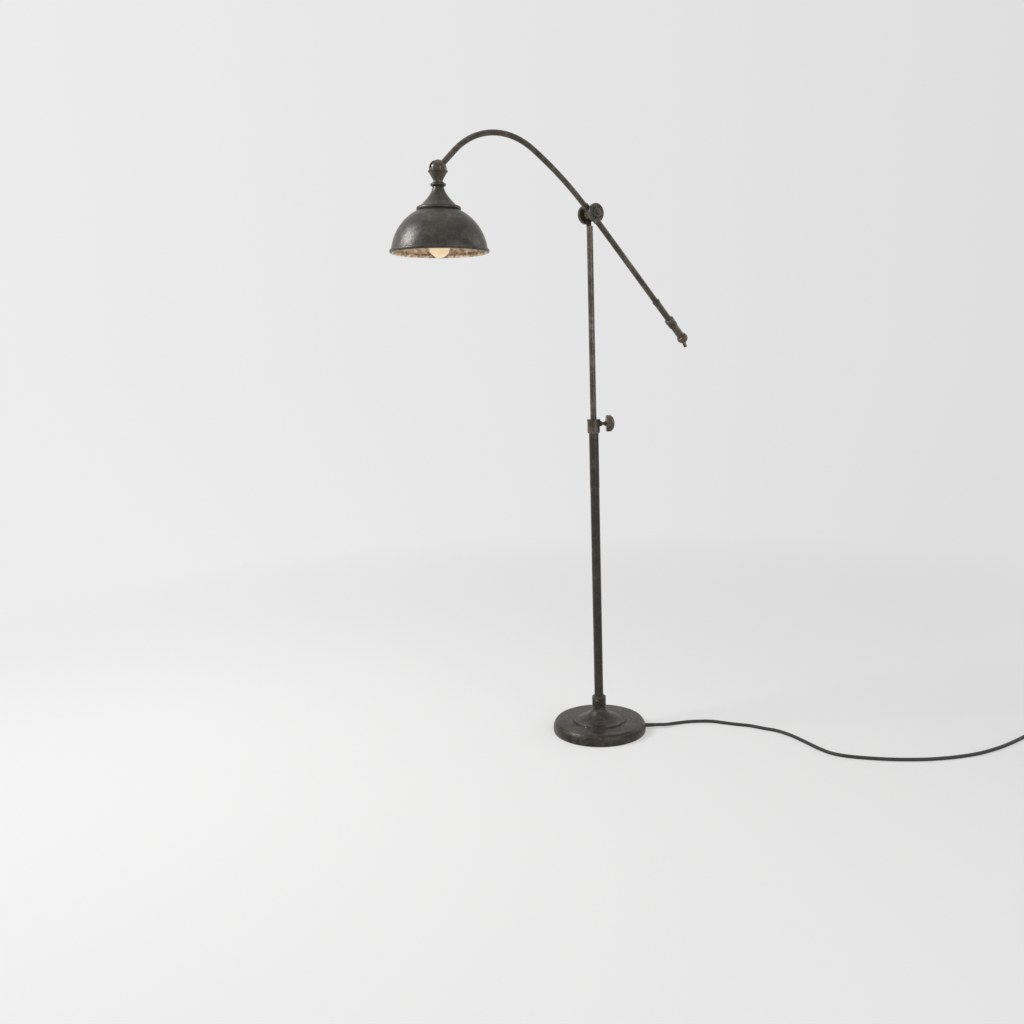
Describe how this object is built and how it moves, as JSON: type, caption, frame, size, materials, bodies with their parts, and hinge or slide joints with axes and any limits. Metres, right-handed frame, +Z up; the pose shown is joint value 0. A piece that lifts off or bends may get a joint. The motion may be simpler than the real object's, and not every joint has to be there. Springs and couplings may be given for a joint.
{
  "type": "floor lamp",
  "caption": "Bridge floor lamp: cast bell base, telescopic pole, curved arm pivoting on a bolt, ball-jointed dome shade, mains cord with plug.",
  "frame": {"origin": "centre of the base's underside, on the floor", "axes": "+Z up along the pole, +X towards the cord's outlet and the clamp's thumb knob, +Y away from the side with the socket's set screw"},
  "size_m": [1.8167, 0.6295, 1.6318],
  "materials": {
    "base_finish": "dark weathered bronze patina over cast iron",
    "pole_finish": "dark weathered bronze, satin",
    "arm_finish": "weathered bronze with brown patches",
    "shade_finish": "weathered bronze outside, warm copper beige inside",
    "plain_steel": "zinc plated",
    "bare_brass": "plain",
    "cord_jacket": "matt black jacket",
    "black_plastic": "moulded",
    "base_felt": "pressed felt",
    "bush_nylon": "turned",
    "socket_ceramic": "glazed",
    "lamp_glass": "frosted warm white"
  },
  "bodies": {
    "base_and_lower_pole": {"base_casting": "base_finish", "felt_pad": "base_felt", "bottom_cover": "plain_steel", "cover_screws": "plain_steel", "base_socket": "base_finish", "socket_screw": "plain_steel", "base_nipple": "plain_steel", "nipple_washer": "plain_steel", "nipple_nut": "plain_steel", "lower_tube": "pole_finish", "pole_sleeve": "pole_finish", "clamp_collar": "pole_finish", "strain_relief": "cord_jacket", "base_lead": "cord_jacket", "pole_lead": "cord_jacket", "cord_run": "cord_jacket", "cord_coil": "cord_jacket", "plug_body": "black_plastic", "plug_blades": "bare_brass"},
    "clamp_shoe": {"clamp_pad": "bare_brass"},
    "thumb_screw": {"clamp_screw": "plain_steel", "clamp_knob": "pole_finish"},
    "pole_guide": {"guide_bush": "bush_nylon"},
    "upper_pole": {"upper_tube": "pole_finish", "pole_head": "arm_finish", "far_cap": "arm_finish", "near_cap": "arm_finish", "pivot_bolt": "plain_steel", "cap_buttons": "arm_finish", "friction_washers": "bare_brass"},
    "arm": {"arm_hub": "arm_finish", "hub_screws": "plain_steel", "arm_tube": "arm_finish", "tail_tube": "arm_finish", "tail_ring": "arm_finish", "switch_collar": "arm_finish", "switch_barrel": "arm_finish", "switch_core": "black_plastic", "arm_tongue": "arm_finish"},
    "switch_knob": {"switch_key": "arm_finish", "key_shaft": "bare_brass"},
    "swivel": {"swivel_ball": "arm_finish", "swivel_cup": "arm_finish", "swivel_screw": "plain_steel"},
    "shade_head": {"shade_nipple": "plain_steel", "nipple_lock": "plain_steel", "neck_ring": "shade_finish", "fitter": "shade_finish", "shade": "shade_finish", "shade_ring": "black_plastic", "lamp_socket": "socket_ceramic", "socket_contact": "bare_brass", "bulb_base": "plain_steel", "bulb_glass": "lamp_glass"}
  },
  "joints": [
    {"name": "height_slide", "type": "slide", "parent": "base_and_lower_pole", "child": "pole_guide", "axis": [0, 0, 1], "range_m": [-0.4, 0.12]},
    {"name": "pole_swivel", "type": "hinge", "parent": "pole_guide", "child": "upper_pole", "pos_m": [0, 0, 1.2], "axis": [0, 0, 1], "range_deg": [-170, 170]},
    {"name": "clamp_advance", "type": "slide", "parent": "base_and_lower_pole", "child": "clamp_shoe", "axis": [1, 0, 0], "range_m": [0, 0.0026]},
    {"name": "clamp_turn", "type": "hinge", "parent": "clamp_shoe", "child": "thumb_screw", "pos_m": [0.045, 0, 0.888], "axis": [1, 0, 0], "range_deg": [0, 720]},
    {"name": "arm_tilt", "type": "hinge", "parent": "upper_pole", "child": "arm", "pos_m": [0.00411, -0.00566, 1.449], "axis": [0.5878, -0.809, 0], "range_deg": [-16, 35]},
    {"name": "key_turn", "type": "hinge", "parent": "arm", "child": "switch_knob", "pos_m": [0.28933, 0.20156, 1.10868], "axis": [0.58, 0.4214, -0.6972], "range_deg": [0, 90]},
    {"name": "shade_tilt", "type": "hinge", "parent": "arm", "child": "swivel", "pos_m": [-0.38304, -0.28695, 1.52378], "axis": [0.5878, -0.809, 0], "range_deg": [-60, 12]},
    {"name": "shade_spin", "type": "hinge", "parent": "swivel", "child": "shade_head", "pos_m": [-0.3837, -0.28684, 1.49379], "axis": [0.0219, -0.0035, 0.9998], "range_deg": [-170, 170]}
  ],
  "couplings": [
    {"joint": "clamp_advance", "follows": "clamp_turn", "m_per_rad": 0.00019894}
  ]
}
